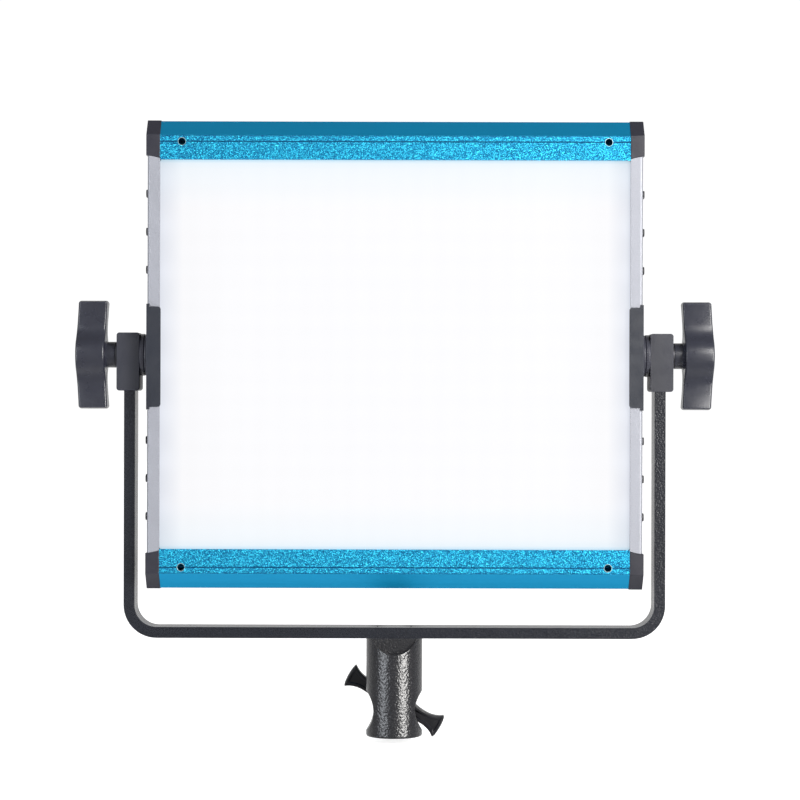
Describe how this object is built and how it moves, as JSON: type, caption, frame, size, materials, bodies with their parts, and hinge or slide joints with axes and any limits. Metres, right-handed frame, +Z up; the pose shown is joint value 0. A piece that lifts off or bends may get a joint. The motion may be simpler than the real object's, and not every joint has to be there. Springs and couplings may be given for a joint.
{
  "type": "led panel light",
  "caption": "Square LED panel light with blue rails and an opal diffuser, tilting in a U-shaped yoke with winged clamp knobs on a stand adapter for a 16 mm spigot.",
  "frame": {"origin": "centre of the stand socket's mouth, at the bottom of the adapter", "axes": "+X across the panel to the right seen from the lit side, +Y from the lit face to the back, +Z up; the light shines along -Y"},
  "size_m": [0.3378, 0.0615, 0.3271],
  "materials": {
    "anodised_blue": "blue anodised, sparkling grain on the front face, smooth slopes",
    "cap_plastic": "satin moulded",
    "black_screws": "black oxide",
    "frame_silver": "fine blasted, anodised silver",
    "vent_black": "moulded",
    "pivot_black": "satin, glass-filled",
    "washer_plastic": "smooth acetal",
    "opal_diffuser": "opal acrylic, lit from behind",
    "chamber_white": "white reflector",
    "lamp_board": "white solder mask on an aluminium core",
    "lamp_warm": "phosphor",
    "lamp_cool": "phosphor",
    "bare_aluminium": "mill finish",
    "circuit_board": "green solder mask",
    "lead_insulation": "PVC",
    "cover_black": "textured moulding",
    "housing_black": "textured moulding",
    "display_panel": "reflective liquid crystal",
    "window_smoke": "smoked acrylic",
    "encoder_metal": "nickel plated",
    "contact_metal": "gold flashed",
    "knob_black": "satin moulded",
    "handle_black": "satin moulded",
    "stud_steel": "zinc plated",
    "thrust_metal": "black zinc",
    "pad_brass": "turned",
    "yoke_black": "fine textured black powder coat",
    "block_black": "satin, glass-filled",
    "adapter_black": "wrinkle black paint",
    "dial_black": "soft-touch",
    "rocker_red": "translucent red",
    "button_grey": "moulded",
    "latch_grey": "moulded"
  },
  "bodies": {
    "yoke": {"yoke_frame": "yoke_black", "arm_block_left": "block_black", "arm_block_right": "block_black", "yoke_washer_left": "washer_plastic", "yoke_washer_right": "washer_plastic", "stand_adapter": "adapter_black", "adapter_screws": "black_screws"},
    "panel": {"top_rail": "anodised_blue", "bottom_rail": "anodised_blue", "corner_cap_top_left": "cap_plastic", "corner_cap_top_right": "cap_plastic", "corner_cap_bottom_left": "cap_plastic", "corner_cap_bottom_right": "cap_plastic", "cap_screws": "black_screws", "side_frame_left": "frame_silver", "side_frame_right": "frame_silver", "side_vents_left": "vent_black", "side_vents_right": "vent_black", "pivot_plate_left": "pivot_black", "pivot_plate_right": "pivot_black", "pivot_screws": "black_screws", "panel_washer_left": "washer_plastic", "panel_washer_right": "washer_plastic", "diffuser": "opal_diffuser", "light_chamber": "chamber_white", "led_board": "lamp_board", "warm_leds": "lamp_warm", "cool_leds": "lamp_cool", "heat_spreader": "bare_aluminium", "driver_board": "circuit_board", "wiring_harness": "lead_insulation", "rear_cover": "cover_black", "cover_screws": "black_screws", "control_housing": "housing_black", "control_board": "circuit_board", "display_module": "display_panel", "display_window": "window_smoke", "encoders": "encoder_metal", "switch_housing": "housing_black", "dc_inlet": "housing_black", "power_contacts": "contact_metal", "battery_plate_left": "housing_black", "battery_plate_right": "housing_black"},
    "clamp_slide_left": {"thrust_washer_left": "thrust_metal"},
    "clamp_slide_right": {"thrust_washer_right": "thrust_metal"},
    "tilt_knob_left": {"tilt_knob_left": "knob_black", "knob_stud_left": "stud_steel"},
    "tilt_knob_right": {"tilt_knob_right": "knob_black", "knob_stud_right": "stud_steel"},
    "lock_pad": {"clamp_pad": "pad_brass"},
    "lock_handle": {"lock_handle": "handle_black", "lock_stud": "stud_steel"},
    "brightness_knob": {"brightness_knob": "dial_black"},
    "colour_knob": {"colour_knob": "dial_black"},
    "power_rocker": {"power_rocker": "rocker_red"},
    "mode_button": {"mode_button": "button_grey"},
    "menu_button": {"menu_button": "button_grey"},
    "battery_latch_left": {"battery_latch_left": "latch_grey"},
    "battery_latch_right": {"battery_latch_right": "latch_grey"}
  },
  "joints": [
    {"name": "tilt", "type": "hinge", "parent": "yoke", "child": "panel", "pos_m": [0, 0, 0.2015], "axis": [1, 0, 0], "range_deg": [-180, 180]},
    {"name": "clamp_travel_left", "type": "slide", "parent": "panel", "child": "clamp_slide_left", "axis": [-1, 0, 0], "range_m": [0, 0.0025]},
    {"name": "clamp_turn_left", "type": "hinge", "parent": "clamp_slide_left", "child": "tilt_knob_left", "pos_m": [-0.16, 0, 0.2015], "axis": [-1, 0, 0], "range_deg": [0, 722]},
    {"name": "clamp_travel_right", "type": "slide", "parent": "panel", "child": "clamp_slide_right", "axis": [1, 0, 0], "range_m": [0, 0.0025]},
    {"name": "clamp_turn_right", "type": "hinge", "parent": "clamp_slide_right", "child": "tilt_knob_right", "pos_m": [0.16, 0, 0.2015], "axis": [1, 0, 0], "range_deg": [0, 722]},
    {"name": "lock_travel", "type": "slide", "parent": "yoke", "child": "lock_pad", "axis": [0, 1, 0], "range_m": [-0.0002, 0.002]},
    {"name": "lock_turn", "type": "hinge", "parent": "lock_pad", "child": "lock_handle", "pos_m": [0, 0.021, 0.0163], "axis": [0, 1, 0], "range_deg": [-73, 722]},
    {"name": "brightness_turn", "type": "hinge", "parent": "panel", "child": "brightness_knob", "pos_m": [-0.026, 0.034, 0.1895], "axis": [0, 1, 0], "continuous": true},
    {"name": "colour_turn", "type": "hinge", "parent": "panel", "child": "colour_knob", "pos_m": [0.026, 0.034, 0.1895], "axis": [0, 1, 0], "continuous": true},
    {"name": "power_switch", "type": "hinge", "parent": "panel", "child": "power_rocker", "pos_m": [-0.02, 0.0278, 0.1575], "axis": [0, 0, 1], "range_deg": [0, 16]},
    {"name": "mode_press", "type": "slide", "parent": "panel", "child": "mode_button", "axis": [0, -1, 0], "range_m": [0, 0.001], "stiffness_N_per_m": 300, "springref_m": -0.001},
    {"name": "menu_press", "type": "slide", "parent": "panel", "child": "menu_button", "axis": [0, -1, 0], "range_m": [0, 0.001], "stiffness_N_per_m": 300, "springref_m": -0.001},
    {"name": "latch_slide_left", "type": "slide", "parent": "panel", "child": "battery_latch_left", "axis": [0, 0, -1], "range_m": [0, 0.003], "stiffness_N_per_m": 300, "springref_m": -0.002},
    {"name": "latch_slide_right", "type": "slide", "parent": "panel", "child": "battery_latch_right", "axis": [0, 0, -1], "range_m": [0, 0.003], "stiffness_N_per_m": 300, "springref_m": -0.002}
  ],
  "couplings": [
    {"joint": "clamp_turn_left", "follows": "clamp_travel_left", "rad_per_m": 5026.5},
    {"joint": "clamp_turn_right", "follows": "clamp_travel_right", "rad_per_m": 5026.5},
    {"joint": "lock_turn", "follows": "lock_travel", "rad_per_m": 6283.2}
  ]
}
